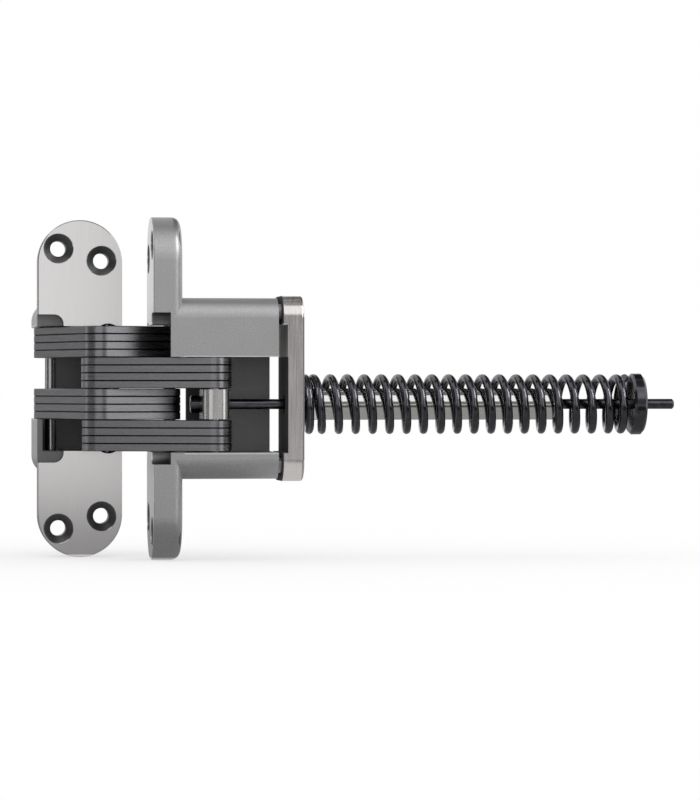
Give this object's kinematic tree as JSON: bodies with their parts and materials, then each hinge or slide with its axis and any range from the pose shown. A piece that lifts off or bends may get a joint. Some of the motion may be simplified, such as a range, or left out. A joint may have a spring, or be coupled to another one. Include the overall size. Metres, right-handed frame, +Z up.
{
  "type": "self-closing concealed hinge",
  "caption": "Concealed mortise hinge with crossing laminated links between two cast leaves, and a spring on a rod behind the door leaf that closes the door.",
  "frame": {"origin": "centre of the frame leaf's face, in the face plane", "axes": "the frame leaf's face looks along -Y; +Z is up along the hinge pins; the door leaf and its spring run along +X at the right-angle opening of the picture"},
  "size_m": [0.2627, 0.1021, 0.1396],
  "materials": {
    "leaf_casting": "die-cast leaf with a satin plated face",
    "link_steel": "stamped and tumbled steel",
    "pin_steel": "ground steel",
    "block_steel": "machined bright steel",
    "plate_steel": "brushed steel",
    "tube_steel": "polished tube",
    "black_oxide": "black oxide on steel"
  },
  "bodies": {
    "frame": {"frame_leaf": "leaf_casting", "frame_pivot_pin": "pin_steel"},
    "frame_links": {"frame_link_1": "link_steel", "frame_link_2": "link_steel", "frame_link_3": "link_steel", "frame_link_4": "link_steel", "frame_link_5": "link_steel", "frame_link_6": "link_steel", "frame_link_7": "link_steel", "frame_link_8": "link_steel", "centre_pin": "pin_steel", "door_slider_pin": "pin_steel"},
    "door_links": {"door_link_1": "link_steel", "door_link_2": "link_steel", "door_link_3": "link_steel", "door_link_4": "link_steel", "door_link_5": "link_steel", "door_link_6": "link_steel", "door_link_7": "link_steel", "door_link_8": "link_steel", "frame_slider_pin": "pin_steel"},
    "door": {"door_leaf": "leaf_casting", "door_pivot_pin": "pin_steel", "end_plate": "plate_steel", "end_plate_screws": "black_oxide", "guide_tube": "tube_steel", "closing_spring": "black_oxide"},
    "closer": {"pull_block": "block_steel", "adjusting_screw": "black_oxide", "spring_cap": "black_oxide"}
  },
  "joints": [
    {"name": "frame_pivot_turn", "type": "hinge", "parent": "frame", "child": "frame_links", "pos_m": [0.01174, 0.0089, 0], "axis": [0, 0, 1], "range_deg": [-60, 13.33]},
    {"name": "centre_turn", "type": "hinge", "parent": "frame_links", "child": "door_links", "pos_m": [0.00743, -0.01958, 0], "axis": [0, 0, 1], "range_deg": [-6.68, 30.01]},
    {"name": "door_pivot_turn", "type": "hinge", "parent": "door_links", "child": "door", "pos_m": [0.0359, -0.01527, 0], "axis": [0, 0, 1], "range_deg": [-60.01, 13.34]},
    {"name": "closer_slide", "type": "slide", "parent": "door", "child": "closer", "axis": [1, 0, 0], "range_m": [-0.0047, 0.02109], "deforming": ["closing_spring"]}
  ],
  "couplings": [
    {"joint": "centre_turn", "follows": "frame_pivot_turn", "ratio": -0.5},
    {"joint": "door_pivot_turn", "follows": "frame_pivot_turn", "ratio": 1},
    {"joint": "closer_slide", "follows": "frame_pivot_turn", "m_per_rad": -0.020133}
  ]
}
